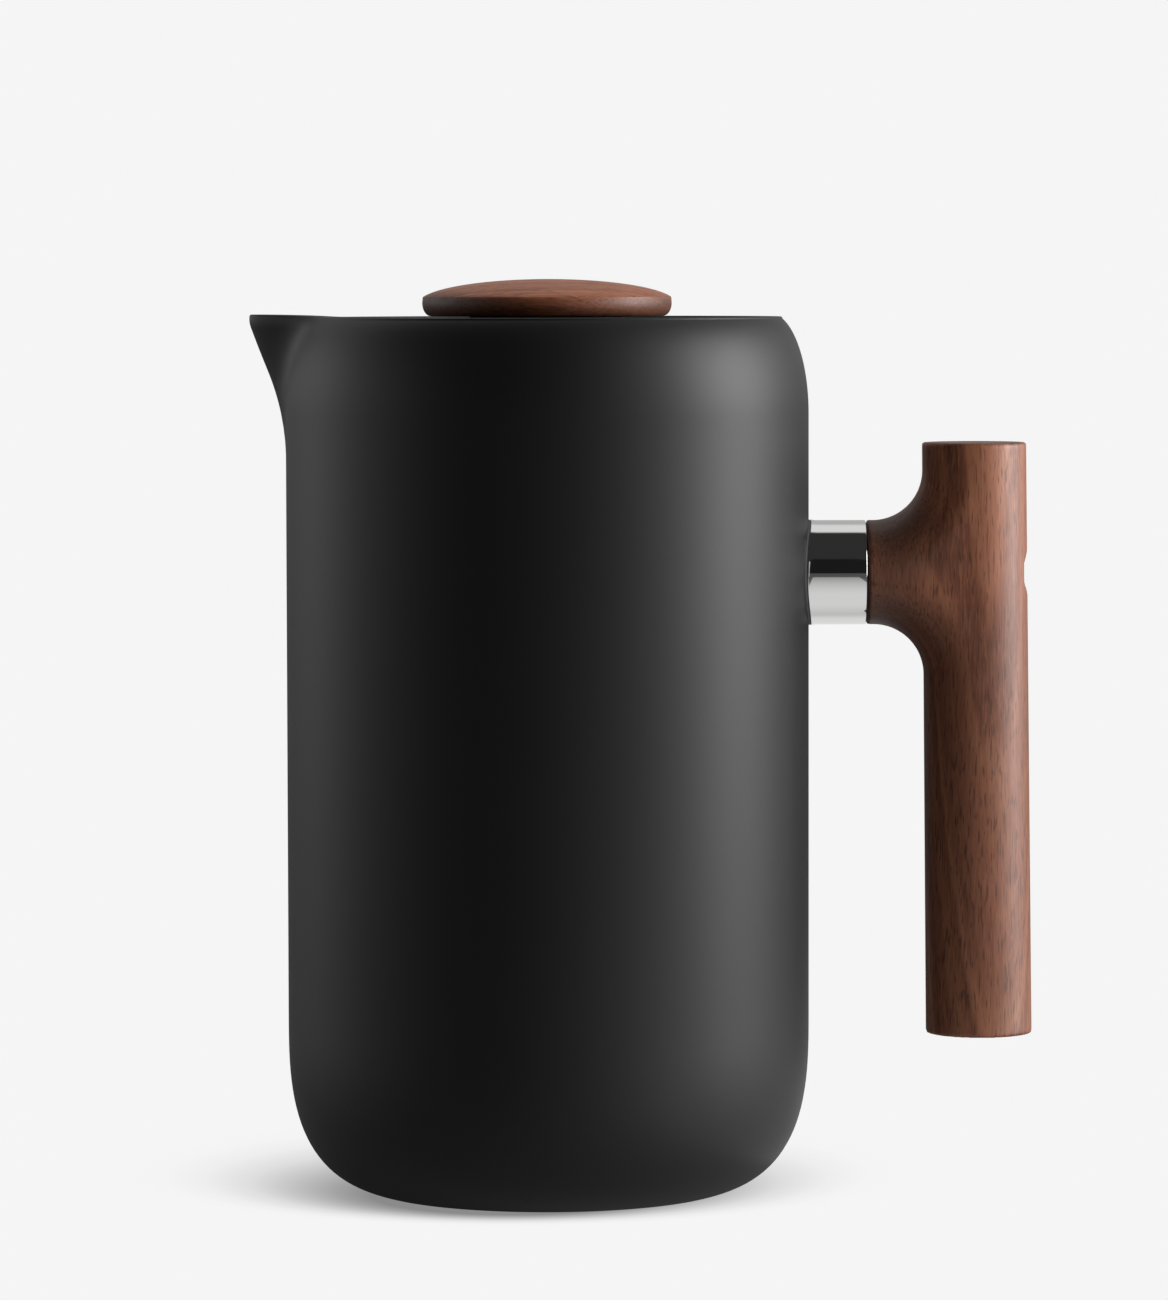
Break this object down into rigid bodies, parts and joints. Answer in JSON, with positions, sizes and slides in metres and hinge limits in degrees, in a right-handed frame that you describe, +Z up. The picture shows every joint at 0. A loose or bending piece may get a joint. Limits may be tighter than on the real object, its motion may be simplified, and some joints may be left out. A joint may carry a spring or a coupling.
{
  "type": "french press",
  "caption": "Double-walled steel french press with a V spout, a wooden T handle on a steel ferrule, a lid that lifts and turns, and a plunger with a domed wooden knob.",
  "frame": {"origin": "centre of the base, on the table that the press stands on", "axes": "+Z up along the carafe's axis, -X towards the spout, +X towards the handle"},
  "size_m": [0.1628, 0.1082, 0.1898],
  "materials": {
    "black_coat": "matt powder coat",
    "satin_steel": "satin",
    "plain_steel": "machined",
    "polished_steel": "mirror polish",
    "silicone": "matt",
    "walnut": "oiled, satin",
    "black_plastic": "matt",
    "white_plastic": "matt",
    "insert_brass": "machined"
  },
  "bodies": {
    "carafe": {"outer_shell": "black_coat", "inner_vessel": "satin_steel", "base_plate": "satin_steel", "vacuum_plug": "satin_steel", "foot_ring": "silicone", "handle_boss": "satin_steel", "saddle_gasket": "silicone", "ferrule": "polished_steel", "grip_gasket": "silicone", "grip": "walnut", "handle_bolt": "plain_steel", "bolt_washer": "plain_steel", "locating_pins": "plain_steel"},
    "seal": {"lid_seal": "silicone"},
    "lid": {"lid_cover": "black_coat", "lid_body": "black_plastic", "lid_sleeve": "plain_steel", "lid_nut": "plain_steel"},
    "bush": {"rod_bush": "white_plastic"},
    "plunger": {"knob": "walnut", "knob_insert": "insert_brass", "knob_bumper": "silicone", "plunger_rod": "polished_steel", "filter_hub": "plain_steel", "filter_top_plate": "plain_steel", "filter_coil": "plain_steel", "filter_mesh": "satin_steel", "filter_cross_plate": "plain_steel", "filter_nut": "plain_steel"}
  },
  "joints": [
    {"name": "lid_lift", "type": "slide", "parent": "carafe", "child": "seal", "axis": [0, 0, 1], "range_m": [0, 0.18]},
    {"name": "lid_turn", "type": "hinge", "parent": "seal", "child": "lid", "pos_m": [0, 0, 0.17], "axis": [0, 0, 1], "continuous": true},
    {"name": "plunger_turn", "type": "hinge", "parent": "lid", "child": "bush", "pos_m": [0, 0, 0.17], "axis": [0, 0, 1], "continuous": true},
    {"name": "plunger_slide", "type": "slide", "parent": "bush", "child": "plunger", "axis": [0, 0, 1], "range_m": [0, 0.125]}
  ]
}
